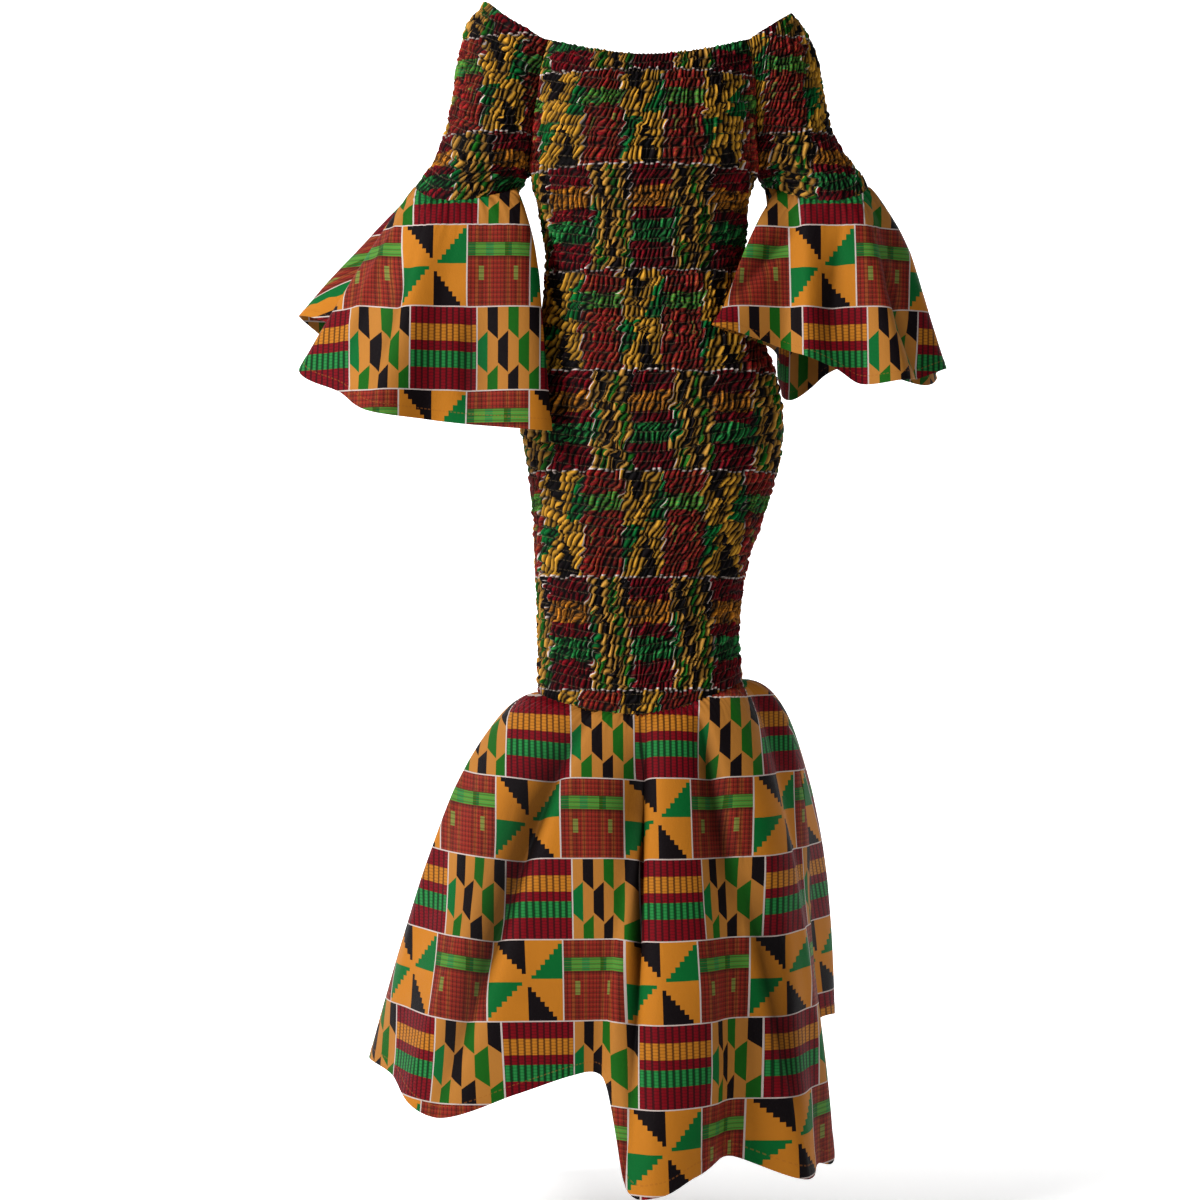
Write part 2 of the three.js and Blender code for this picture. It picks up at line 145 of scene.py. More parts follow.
def draw_print():
    """The print. Place counts pairs of blocks across in X and rows of blocks down in Y."""
    chart = Chart(
        "kente_print",
        [
            ("Place", "NodeSocketVector", None),
            ("Row Shift", "NodeSocketFloat", 0.08),
            ("Line Width", "NodeSocketFloat", 0.0016),
            ("Ground", "NodeSocketColor", ORANGE),
            ("Plaid Dye", "NodeSocketColor", RUST),
        ],
        [("Color", "NodeSocketColor"), ("Ribs", "NodeSocketFloat")],
    )
    calc, below, both, band, flip = chart.calc, chart.below, chart.both, chart.band, chart.flip
    ground = chart.given["Ground"]
    split = chart.tree.nodes.new("ShaderNodeSeparateXYZ")
    chart.feed(split.inputs[0], chart.given["Place"])
    plaid_row = calc("FLOORED_MODULO", calc("FLOOR", split.outputs["Y"]), 2)
    down = calc("FRACT", split.outputs["Y"])
    across = calc("FRACT", calc("MULTIPLY_ADD", plaid_row, chart.given["Row Shift"], split.outputs["X"]))
    left = calc("DIVIDE", across, LEFT_BLOCK)
    right = calc("DIVIDE", calc("SUBTRACT", across, LEFT_BLOCK), 1 - LEFT_BLOCK)
    on_right = calc("GREATER_THAN", across, LEFT_BLOCK)

    # Ribbed stripes: five bands of colour over upright ribs, which are beaded.
    ribs = calc("ABSOLUTE", calc("SINE", calc("MULTIPLY", left, math.pi * RIBS)))
    bands = chart.stripes(down, (0, MAROON), (0.21, ORANGE), (0.41, MAROON), (0.53, GREEN), (0.73, MAROON))
    green_band = band(down, 0.53, 0.73)
    bands = chart.paint(bands, RIB_GREEN, both(green_band, calc("GREATER_THAN", ribs, 0.75)))
    bands = chart.paint(bands, BLACK, both(below(ribs, 0.5), 0.72))
    rib = calc("FLOOR", both(left, RIBS))
    bead = calc("FRACT", calc("MULTIPLY_ADD", rib, 0.5, both(down, BEADS)))
    ribbed = chart.paint(bands, BLACK, both(below(bead, 0.34), 0.36))

    # Hexagon: six columns of bars, drawn in from the top, the bottom and the middle.
    bar = both(right, BARS)
    column = calc("FLOOR", bar)
    odd = calc("FLOORED_MODULO", column, 2)
    middle = chart.near(calc("ABSOLUTE", calc("SUBTRACT", column, 2.5)), 0.5, 0.1)
    slant = both(calc("FRACT", bar), 0.12)
    top_bar = both(odd, below(down, calc("ADD", slant, 0.27)))
    low_bar = both(odd, calc("GREATER_THAN", down, calc("SUBTRACT", 0.82, slant)))
    cross_bar = both(flip(odd), band(down, calc("SUBTRACT", 0.41, slant), calc("ADD", slant, 0.67)))
    leaf = chart.paint(LEAF_GREEN, GREEN, below(column, 0.5))
    hexagon = chart.paint(chart.paint(ground, STRAW, 0.4), chart.paint(BLACK, LEAF_GREEN, middle), top_bar)
    hexagon = chart.paint(hexagon, chart.paint(LEAF_GREEN, BLACK, middle), low_bar)
    hexagon = chart.paint(hexagon, chart.paint(leaf, BLACK, middle), cross_bar)

    # Pinwheel: a black and a green stepped vane, and the same again after half a turn. They stop short
    # of the middle.
    off_middle = calc("SUBTRACT", down, 0.5)
    turn = calc("MULTIPLY", calc("SIGN", off_middle), -1)
    height = calc("ABSOLUTE", off_middle)
    aside = both(calc("SUBTRACT", left, 0.49), turn)

    def stepped(value, start, reach):
        share = calc("DIVIDE", calc("SUBTRACT", value, start), 0.5 - start)
        return both(calc("DIVIDE", calc("CEIL", both(share, PINWHEEL_STEPS)), PINWHEEL_STEPS), reach)

    black_vane = both(below(aside, -0.008), calc("GREATER_THAN", aside, stepped(height, 0.08, -0.41)))
    green_vane = band(height, 0.02, stepped(aside, PINWHEEL_GAP, 0.45))
    pinwheel = chart.paint(ground, BLACK, black_vane)
    pinwheel = chart.paint(pinwheel, GREEN, both(green_vane, calc("GREATER_THAN", aside, PINWHEEL_GAP)))

    # Plaid: upright threads over fine level ones, crossed by a green band, with two lime dashes under it.
    plaid = chart.stripes(
        right, (0, BROWN), (0.07, RUST), (0.13, TAN), (0.19, BROWN), (0.27, RUST), (0.33, TAN),
        (0.38, RUST), (0.50, RUST), (0.57, BROWN), (0.63, TAN), (0.68, RUST), (0.74, BROWN),
        (0.80, TAN), (0.86, RUST), (0.92, BROWN),
    )
    upright_threads = below(calc("FRACT", calc("MULTIPLY", right, 17)), 0.28)
    plaid = chart.paint(plaid, chart.given["Plaid Dye"], 0.5)
    plaid = chart.paint(plaid, BLACK, both(upright_threads, 0.55))
    crossing = chart.stripes(
        right, (0, GREEN), (0.13, GRASS), (0.30, RIB_GREEN), (0.42, GRASS), (0.60, LEAF_GREEN),
        (0.66, GREEN), (0.71, GRASS),
    )
    plaid = chart.paint(plaid, BLACK, both(band(down, 0.205, 0.41), 0.6))
    plaid = chart.paint(plaid, crossing, band(down, 0.225, 0.385))
    dash = calc("MAXIMUM", chart.near(right, 0.23, 0.04), chart.near(right, 0.78, 0.035))
    plaid = chart.paint(plaid, LIME, both(both(dash, band(down, 0.51, 0.68)), 0.8))
    level_threads = below(calc("FRACT", calc("MULTIPLY", down, 34)), 0.4)
    plaid = chart.paint(plaid, TAN, both(level_threads, 0.26))
    plaid = chart.paint(plaid, BLACK, both(below(calc("FRACT", calc("MULTIPLY", down, 17)), 0.3), 0.40))

    striped_row = chart.paint(ribbed, hexagon, on_right)
    crossed_row = chart.paint(pinwheel, plaid, on_right)
    blocks = chart.paint(striped_row, crossed_row, plaid_row)
    reach = calc("DIVIDE", chart.given["Line Width"], PAIR * 2)
    from_side = calc("PINGPONG", across, 0.5)
    upright = calc("MAXIMUM", below(from_side, reach), chart.near(across, LEFT_BLOCK, reach))
    level = below(calc("PINGPONG", down, 0.5), calc("MULTIPLY", reach, 1.4))
    blocks = chart.paint(blocks, BORDER, calc("MAXIMUM", upright, level))
    chart.feed(chart.result["Color"], blocks)
    chart.feed(chart.result["Ribs"], both(both(ribs, flip(on_right)), flip(plaid_row)))
    return chart.tree


kente_print = draw_print()


def draw_weave():
    """Plain weave: the height of threads that pass over and under each other."""
    chart = Chart("weave", [("Place", "NodeSocketVector", None)], [("Height", "NodeSocketFloat")])
    split = chart.tree.nodes.new("ShaderNodeSeparateXYZ")
    chart.feed(split.inputs[0], chart.given["Place"])
    warp = chart.calc("SINE", chart.calc("MULTIPLY", split.outputs["X"], math.pi * PAIR / THREAD))
    weft = chart.calc("SINE", chart.calc("MULTIPLY", split.outputs["Y"], math.pi * ROW / THREAD))
    chart.feed(chart.result["Height"], chart.calc("MULTIPLY", warp, weft))
    return chart.tree


weave = draw_weave()


Thread = namedtuple("Thread", "colour width shows")
STITCH = 0.0042


def dye_cloth(name, row_shift, ground, plaid_dye, shade, painted_fold_shade, thread):
    """The cotton as a material. shade is how bright its dye is, and the next number how bright painted
    shade leaves its deepest folds and grooves.

    row_shift is how far every other row of the print has moved along, in pairs of blocks.
    """
    material = bpy.data.materials.new(name)
    material.use_nodes = True
    tree = material.node_tree
    nodes, links = tree.nodes, tree.links
    shader = nodes["Principled BSDF"]
    place = nodes.new("ShaderNodeUVMap")
    place.uv_map = "print"

    pattern = nodes.new("ShaderNodeGroup")
    pattern.node_tree = kente_print
    pattern.inputs["Row Shift"].default_value = row_shift
    pattern.inputs["Ground"].default_value = ground
    pattern.inputs["Plaid Dye"].default_value = plaid_dye
    links.new(place.outputs["UV"], pattern.inputs["Place"])
    threads = nodes.new("ShaderNodeGroup")
    threads.node_tree = weave
    links.new(place.outputs["UV"], threads.inputs["Place"])

    # The dye is a little uneven, as if washed, and shade is painted into the hollows, darker where the
    # crest is lower.
    spot = nodes.new("ShaderNodeTexCoord")
    clouds = nodes.new("ShaderNodeTexNoise")
    clouds.inputs["Scale"].default_value = 9
    clouds.inputs["Detail"].default_value = 4
    links.new(spot.outputs["Object"], clouds.inputs["Vector"])
    washed = nodes.new("ShaderNodeMapRange")
    washed.inputs["To Min"].default_value = shade * 0.86
    washed.inputs["To Max"].default_value = shade * 1.08
    links.new(clouds.outputs["Fac"], washed.inputs["Value"])
    crest = nodes.new("ShaderNodeAttribute")
    crest.attribute_name = "crest"
    depth = nodes.new("ShaderNodeMapRange")
    depth.inputs["From Min"].default_value = 0.16
    depth.inputs["From Max"].default_value = 0.88
    depth.inputs["To Min"].default_value = painted_fold_shade
    links.new(crest.outputs["Fac"], depth.inputs["Value"])
    light = nodes.new("ShaderNodeMath")
    light.operation = "MULTIPLY"
    links.new(washed.outputs["Result"], light.inputs[0])
    links.new(depth.outputs["Result"], light.inputs[1])

    # Thread shows in dashes: the elastic in its courses, or the stitching round a hem.
    course = nodes.new("ShaderNodeAttribute")
    course.attribute_name = "thread"
    split = nodes.new("ShaderNodeSeparateXYZ")
    links.new(place.outputs["UV"], split.inputs[0])

    def calc(operation, a, b, c=0):
        node = nodes.new("ShaderNodeMath")
        node.operation = operation
        for socket, value in zip(node.inputs, (a, b, c)):
            if isinstance(value, bpy.types.NodeSocket):
                links.new(value, socket)
            else:
                socket.default_value = value
        return node.outputs[0]

    on_course = calc("LESS_THAN", calc("PINGPONG", course.outputs["Fac"], 0.5), thread.width)
    stitches = calc("MULTIPLY", split.outputs["X"], PAIR / STITCH)
    stitch = calc("LESS_THAN", calc("FRACT", stitches, 0), 0.62)
    shown = calc("MULTIPLY", calc("MULTIPLY", on_course, stitch), thread.shows)

    shaded = nodes.new("ShaderNodeVectorMath")
    shaded.operation = "SCALE"
    links.new(pattern.outputs["Color"], shaded.inputs[0])
    links.new(light.outputs[0], shaded.inputs["Scale"])
    sewn = nodes.new("ShaderNodeMix")
    sewn.data_type = "RGBA"
    sewn.inputs[7].default_value = thread.colour
    links.new(shown, sewn.inputs["Factor"])
    links.new(shaded.outputs[0], sewn.inputs[6])
    links.new(sewn.outputs[2], shader.inputs["Base Color"])

    fuzz = nodes.new("ShaderNodeTexNoise")
    fuzz.inputs["Scale"].default_value = 420
    fuzz.inputs["Detail"].default_value = 3
    links.new(spot.outputs["Object"], fuzz.inputs["Vector"])
    matt = nodes.new("ShaderNodeMapRange")
    matt.inputs["To Min"].default_value = 0.55
    matt.inputs["To Max"].default_value = 0.78
    links.new(fuzz.outputs["Fac"], matt.inputs["Value"])
    links.new(matt.outputs["Result"], shader.inputs["Roughness"])
    relief = calc("MULTIPLY_ADD", pattern.outputs["Ribs"], 0.5, fuzz.outputs["Fac"])
    relief = calc("ADD", calc("MULTIPLY_ADD", threads.outputs["Height"], 0.25, relief), shown)
    bump = nodes.new("ShaderNodeBump")
    bump.inputs["Strength"].default_value = 0.5
    bump.inputs["Distance"].default_value = 0.0006
    links.new(relief, bump.inputs["Height"])
    links.new(bump.outputs["Normal"], shader.inputs["Normal"])
    shader.inputs["Specular IOR Level"].default_value = 0.08
    return material


# ---------------------------------------------------------------- bodice
# The front and the back of one long tube from bust to knee, gathered on rows of elastic thread. Each
# is a thin shell whose puckers stand up between the rows, and they meet at the side seams.
Level = namedtuple("Level", "z middle half front back")
BODY = [
    Level(0.115, 0.008, 0.150, 0.078, 0.078),
    Level(0.050, 0.008, 0.144, 0.102, 0.087),
    Level(-0.020, 0.005, 0.137, 0.118, 0.091),  # bust
    Level(-0.068, 0.004, 0.133, 0.112, 0.088),
    Level(-0.100, 0.003, 0.124, 0.105, 0.086),
    Level(-0.130, 0.005, 0.121, 0.098, 0.084),
    Level(-0.168, 0.006, 0.117, 0.092, 0.084),  # waist
    Level(-0.240, 0.010, 0.128, 0.096, 0.098),
    Level(-0.312, 0.013, 0.148, 0.104, 0.114),
    Level(-0.365, 0.014, 0.155, 0.107, 0.124),  # hip
    Level(-0.420, 0.015, 0.147, 0.106, 0.123),
    Level(-0.475, 0.010, 0.136, 0.104, 0.114),
    Level(-0.533, 0.001, 0.125, 0.100, 0.102),
    Level(-0.600, -0.002, 0.119, 0.096, 0.094),
    Level(-0.650, -0.001, 0.119, 0.095, 0.092),  # knee
    Level(-0.715, 0.003, 0.125, 0.099, 0.096),
]
ROUNDNESS = 2.3  # of the sections: 2 is an ellipse, more is squarer

# The armhole: how far round from the side seam, in degrees, a panel has been cut away.
Armhole = namedtuple("Armhole", "z front back")
UNDERARM = -0.064
ARMHOLE = [
    Armhole(UNDERARM, 0, 0),
    Armhole(-0.050, 8, 8),
    Armhole(-0.020, 16, 17),
    Armhole(0.030, 23, 26),
    Armhole(0.095, 28, 32),
    Armhole(0.140, 30, 34),
]
NECK_MIDDLE = {"front": 0.059, "back": 0.060}
NECK_SIDE = {"front": 0.084, "back": 0.086}
FLARE_SEAM = -0.680  # where the smocked tube ends, at the side seams
FLARE_DIP = {"front": 0.028, "back": 0.014}
FLARE_TILT = 0.008

GATHERING = 1.6  # width of cloth in each width of smocking
PLEATS = 52  # puckers across a panel
COURSE = 0.0112  # from one row of elastic thread to the next
STEPS = 5  # of mesh for each pucker, both ways
PUCKER = 0.0066
PRINT_IN_PUCKER = 0.085  # pairs of blocks
ROLL = 0.0030  # height of the rolled top edge
SEAM_DIP = 0.0012  # the puckers' feet lie this far inside the pattern's outer face
SMOCKED_SHELL = 0.0012
FLATNESS = 0.6  # of the print: how much a step into the depth counts against a step across

# Where the print's rows begin, counted down from the neck, and where its pairs begin across.
PrintLine = namedtuple("PrintLine", "z row")
BODICE_LINES = [
    PrintLine(0.150, 0),
    PrintLine(0.040, 1),
    PrintLine(-0.070, 2),
    PrintLine(-0.190, 3),
    PrintLine(-0.309, 4),
    PrintLine(-0.425, 5),
    PrintLine(-0.549, 6),
    PrintLine(-0.681, 7),
    PrintLine(-0.800, 8),
]
BODICE_PAIR_START = -0.012


def row_at(rows, at):
    """The row of a table at a place between its rows, on smooth curves with level ends."""
    order = 1 if rows[-1][0] > rows[0][0] else -1
    i = 0
    while i < len(rows) - 2 and order * (at - rows[i + 1][0]) >= 0:
        i += 1
    a, b = rows[i], rows[i + 1]
    step = b[0] - a[0]
    x = min(max((at - a[0]) / step, 0), 1)
    pull_a, pull_b = x**3 - 2 * x**2 + x, x**3 - x**2
    share = 3 * x**2 - 2 * x**3
    values = [p + (q - p) * share for p, q in zip(a[1:], b[1:])]
    if i > 0:
        before = rows[i - 1]
        scale = pull_a * step / (b[0] - before[0])
        values = [v + scale * (q - p) for v, p, q in zip(values, before[1:], b[1:])]
    if i + 2 < len(rows):
        after = rows[i + 2]
        scale = pull_b * step / (after[0] - a[0])
        values = [v + scale * (q - p) for v, p, q in zip(values, a[1:], after[1:])]
    return type(a)(at, *values)


def mix(a, b, share):
    return a + (b - a) * share


def oval_radius(half, depth, angle):
    """From the middle of a squared-off oval to its edge, at an angle from the wearer's right."""
    c, s = abs(math.cos(angle)) / half, abs(math.sin(angle)) / depth
    return (c**ROUNDNESS + s**ROUNDNESS) ** (-1 / ROUNDNESS)


def body_point(angle, z):
    """A point of the body. The angle goes from the wearer's right by the front."""
    level = row_at(BODY, z)
    r = oval_radius(level.half, level.front if math.sin(angle) > 0 else level.back, angle)
    return Vector((level.middle - r * math.cos(angle), -r * math.sin(angle), z))


def flare_seam_z(angle):
    dip = FLARE_DIP["front" if math.sin(angle) > 0 else "back"]
    return FLARE_SEAM - dip * math.sin(angle) ** 2 - FLARE_TILT * math.cos(angle)


def armhole_angle(z, face):
    return 0 if z <= UNDERARM else math.radians(getattr(row_at(ARMHOLE, z), face))


def along(points, start, flatness):
    """How far each point of a row is from one of them, across the cloth or into its depth.

    Only the larger of the two counts, and depth for less, so that blocks keep their width where the
    cloth turns to the side.
    """
    total = [0]
    for a, b in zip(points, points[1:]):
        total.append(total[-1] + max(abs(b.x - a.x), abs(b.y - a.y) * flatness))
    return [length - total[start] for length in total]


def body_panel(face):
    """A panel's rows, from the flare seam up to the neckline and from the wearer's right to the left."""
    turn = 1 if face == "front" else -1

    def lay(up, columns):
        points = []
        for i in range(columns + 1):
            across = i / columns
            top = mix(NECK_MIDDLE[face], NECK_SIDE[face], abs(2 * across - 1) ** 2)
            z = mix(flare_seam_z(turn * math.pi * across), top, up)
            edge = armhole_angle(z, face)
            points.append(body_point(turn * mix(edge, math.pi - edge, across), z))
        middle = columns // 2
        start = turn * (points[middle].x - BODICE_PAIR_START)
        scale = GATHERING / PAIR
        prints = [
            ((start + turn * length) * scale, row_at(BODICE_LINES, point.z).row)
            for length, point in zip(along(points, middle, FLATNESS), points)
        ]
        return points, prints

    return lay


# crest sets the shade painted into a piece's colour: 1 on a crest, lower in grooves and folds.
Relief = namedtuple("Relief", "crest height slide drop thread")
LEAN = 0.8  # of a pucker's width, between one course of elastic and the next


def smocking(pleats, courses, run, seed):
    """Puckers over a whole piece: their crest, which sets the shade painted into the grooves, height,
    slide of the print and courses of elastic.

    run is the pairs of print in each pucker, below 0 where the print runs the other way. Between two
    courses the puckers lean to the viewer's right and drag the print along. They fade at the seams,
    and a narrow roll finishes the top edge.
    """
    lean = math.copysign(LEAN, -run)

    def relief(across, up):
        x, y = across * pleats, up * courses
        y += 0.7 * noise.noise(Vector((x * 0.22, y * 0.4, seed + 2)))
        row = math.floor(y)
        between = y - row
        slide = lean * (between - 0.5) + 0.45 * noise.cell(Vector((row + 0.5, seed, 0.5)))
        slide += 0.7 * noise.noise(Vector((x * 0.5, y * 0.7, seed)))
        pleat = math.floor(x + slide)
        chance = noise.cell(Vector((pleat + 0.5, row + 0.5, seed)))
        pinched = 0.40 + 0.50 * noise.cell(Vector((pleat + 0.5, row + 0.5, seed + 4)))
        pinch = 1 - pinched * (1 - math.sin(math.pi * between) ** 0.6)
        swell = (0.74 + 0.26 * chance) * pinch * abs(math.sin(math.pi * (x + slide - pleat)))
        seam = min(1, 0.15 + min(across, 1 - across) * pleats / 2, 0.15 + up * courses / 1.5)
        roll = max(0, 1 - abs((1 - up) * courses - 0.25) / 0.5)
        height = seam * (max(swell * PUCKER, roll * ROLL) - SEAM_DIP)
        # The crest, low in the grooves and at the pinches, becomes shade painted into the cloth's colour.
        return Relief(swell**1.35, height, slide * run, 0.018 * chance, up * courses)

    return relief


def sew(name, lay, facing, outer, inner, relief, shell):
    """A closed thin piece of cloth: its right side, its wrong side, and the rims between them.

    lay(up, columns) gives a row's points and their places in the print, and relief(across, up) what
    stands out from them. facing is 1 where the right side faces the way that across x up points, and
    -1 where it faces the other. A wrong side of fewer facets is smooth.
    """
    bm = bmesh.new()
    uv = bm.loops.layers.uv.new("print")
    # The crest is kept on the piece for the painted shade.
    crest_of = bm.verts.layers.float.new("crest")
    thread_of = bm.verts.layers.float.new("thread")
    place_of = {}
    for (columns, rows), side in ((outer, 0), (inner, 1)):
        first = len(bm.faces)
        verts = bmesh.ops.create_grid(bm, x_segments=columns, y_segments=rows, size=0.5)["verts"]
        laid = [lay(j / rows, columns) for j in range(rows + 1)]
        for j, (points, prints) in enumerate(laid):
            under, over = laid[max(j - 1, 0)][0], laid[min(j + 1, rows)][0]
            for i, point in enumerate(points):
                across = points[min(i + 1, columns)] - points[max(i - 1, 0)]
                normal = (across.cross(over[i] - under[i]) * facing).normalized()
                raised = relief(i / columns, j / rows)
                if side and inner != outer:
                    raised = Relief(0.4, -SEAM_DIP, 0, 0, 0.5)
                vert = verts[j * (columns + 1) + i]
                vert.co = point + normal * (raised.height - (shell if side else 0))
                vert[crest_of] = raised.crest
                vert[thread_of] = raised.thread
                place_of[vert] = (prints[i][0] + raised.slide, prints[i][1] + raised.drop)
        bm.faces.ensure_lookup_table()
        for face in bm.faces[first:]:
            face.material_index = side
    rims = [edge for edge in bm.edges if edge.is_boundary]
    for edge in rims:
        edge.smooth = False
    bmesh.ops.bridge_loops(bm, edges=rims)
    bmesh.ops.recalc_face_normals(bm, faces=bm.faces)
    for face in bm.faces:
        face.smooth = True
        for loop in face.loops:
            loop[uv].uv = place_of[loop.vert]
    mesh = bpy.data.meshes.new(name)
    bm.to_mesh(mesh)
    bm.free()
    piece = bpy.data.objects.new(name, mesh)
    bpy.context.scene.collection.objects.link(piece)
    return piece


GOLD = dye(232, 168, 52)
CRIMSON = dye(186, 0, 34)
ELASTIC = Thread(dye(196, 170, 130), width=0.05, shows=0.09)
STITCHING = Thread(dye(150, 88, 30), width=0.06, shows=0.35)
STITCHING_BEHIND = STITCHING._replace(width=0.02, shows=0.3)
smocked_cotton = dye_cloth(
    "smocked_cotton", row_shift=0.11, ground=GOLD, plaid_dye=CRIMSON, shade=0.92, painted_fold_shade=0.01,
    thread=ELASTIC,
)
printed_cotton = dye_cloth(
    "printed_cotton", row_shift=0.08, ground=ORANGE, plaid_dye=RUST, shade=0.62, painted_fold_shade=0.28,
    thread=STITCHING,
)
# The wrong side is the same print at a lower shade: a darker copy that paints shade onto the inside of the
# cloth.
shaded_wrong_side = dye_cloth(
    "shaded_wrong_side", row_shift=0.09, ground=ORANGE, plaid_dye=RUST, shade=0.40, painted_fold_shade=1.0,
    thread=STITCHING_BEHIND,
)


def fasten(piece, node, slot, face_material, **cut):
    """Gives a piece its cloth and its place in the model; the size that it was cut to is not used."""
    piece.data.materials.append(face_material)
    piece.data.materials.append(shaded_wrong_side)
    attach(piece, "root")
    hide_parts(node)


BODICE_CUT_WIDTH = 0.56  # of each half, let out flat
for face, facing, seed in (("front", 1, 3), ("back", -1, 8)):
    length = NECK_MIDDLE[face] - FLARE_SEAM + FLARE_DIP[face]
    courses = round(length / COURSE)
    smocked = smocking(PLEATS, courses, facing * PRINT_IN_PUCKER, seed)
    fine = (PLEATS * STEPS, courses * STEPS)
    panel = sew(
        "smocked_bodice_" + face, body_panel(face), facing, fine, (60, 60), smocked,
        SMOCKED_SHELL,
    )
    fasten(
        panel, "bodice_" + face, "smocked_cotton", smocked_cotton,
        flat=(BODICE_CUT_WIDTH, length), held="gathered",
    )


# ---------------------------------------------------------------- sleeves
# Two short puffed sleeves of the same smocking. Each joins both armholes, covers the point of the
# shoulder, and carries the neckline round the arm. Under the arm it closes into a ring.
Arm = namedtuple("Arm", "z right left inner depth wrap")
SLEEVE = [
    Arm(0.140, 0.188, 0.164, 0.050, 0.060, 100),
    Arm(0.112, 0.208, 0.187, 0.061, 0.064, 102),
    Arm(0.070, 0.219, 0.206, 0.081, 0.064, 112),
    Arm(0.014, 0.228, 0.217, 0.106, 0.060, 132),
    Arm(-0.029, 0.239, 0.230, 0.127, 0.057, 158),
    Arm(UNDERARM, 0.256, 0.255, 0.139, 0.056, 180),
    Arm(-0.084, 0.275, 0.271, 0.147, 0.058, 180),
    Arm(-0.112, 0.292, 0.287, 0.151, 0.061, 180),
]
ARMS_MIDDLE = 0.0035  # X of the plane halfway between the arms
TopEdge = namedtuple("TopEdge", "wrap rise")
SLEEVE_TOP = [
    TopEdge(-1, 0),
    TopEdge(-0.8, 0.26),
    TopEdge(-0.5, 0.69),
    TopEdge(-0.2, 0.94),
    TopEdge(0, 1),
    TopEdge(0.2, 0.94),
    TopEdge(0.5, 0.54),
    TopEdge(0.8, 0.14),
    TopEdge(1, 0),
]
SLEEVE_PEAK = {"right": 0.139, "left": 0.124}
SLEEVE_HEM = -0.082
SLEEVE_HEM_DIP = 0.024
SIDE_OF = {"right": -1, "left": 1}
SLEEVE_PLEATS = 48
SLEEVE_COURSES = 20
SLEEVE_LINES = [
    PrintLine(0.200, 0),
    PrintLine(0.089, 1),
    PrintLine(-0.024, 2),
    PrintLine(-0.140, 3),
]
SLEEVE_PAIR_START = {"right": -0.176, "left": 0.110}


def sleeve_point(arm, wrap, z):
    """A point of a sleeve: wrap goes from -1 at the front by 0 outside the arm to 1 at the back."""
    level = row_at(SLEEVE, z)
    reach = getattr(level, arm)
    middle, half = (reach + level.inner) / 2, (reach - level.inner) / 2

    def at(degrees):
        turn = math.radians(degrees)
        x = ARMS_MIDDLE + SIDE_OF[arm] * (middle + half * math.cos(turn))
        return Vector((x, level.depth * math.sin(turn), z))

    point = at(wrap * level.wrap)
    if z <= UNDERARM or wrap == 0:
        return point
    # Above the underarm the sleeve's edges bend to meet the armhole.
    face = "front" if wrap < 0 else "back"
    edge = armhole_angle(z, face)
    turn = edge if arm == "right" else math.pi - edge
    armhole = body_point(turn if face == "front" else -turn, z)
    return point + (armhole - at(math.copysign(level.wrap, wrap))) * abs(wrap) ** 3


def sleeve_hem_z(wrap):
    return SLEEVE_HEM - SLEEVE_HEM_DIP * math.sin(wrap * math.pi) ** 2


def sleeve_rows(arm):
    side = SIDE_OF[arm]
    neck = NECK_SIDE["front"]

    def lay(up, columns):
        points = []
        for i in range(columns + 1):
            wrap = 2 * i / columns - 1
            top = neck + (SLEEVE_PEAK[arm] - neck) * row_at(SLEEVE_TOP, wrap).rise
            points.append(sleeve_point(arm, wrap, mix(sleeve_hem_z(wrap), top, up)))
        front = columns // 4
        start = points[front].x - SLEEVE_PAIR_START[arm]
        scale = GATHERING / PAIR
        prints = [
            ((start + side * length) * scale, row_at(SLEEVE_LINES, point.z).row)
            for length, point in zip(along(points, front, FLATNESS), points)
        ]
        return points, prints

    return lay


SLEEVE_CUT = (0.50, 0.19)
for arm, seed in (("right", 21), ("left", 34)):
    smocked = smocking(SLEEVE_PLEATS, SLEEVE_COURSES, SIDE_OF[arm] * PRINT_IN_PUCKER, seed)
    fine = (SLEEVE_PLEATS * STEPS, SLEEVE_COURSES * STEPS)
    sleeve = sew(
        "smocked_sleeve_" + arm, sleeve_rows(arm), SIDE_OF[arm], fine, (48, 16), smocked,
        SMOCKED_SHELL,
    )
    fasten(
        sleeve, "sleeve_" + arm, "smocked_cotton", smocked_cotton,
        flat=SLEEVE_CUT, held="gathered",
    )


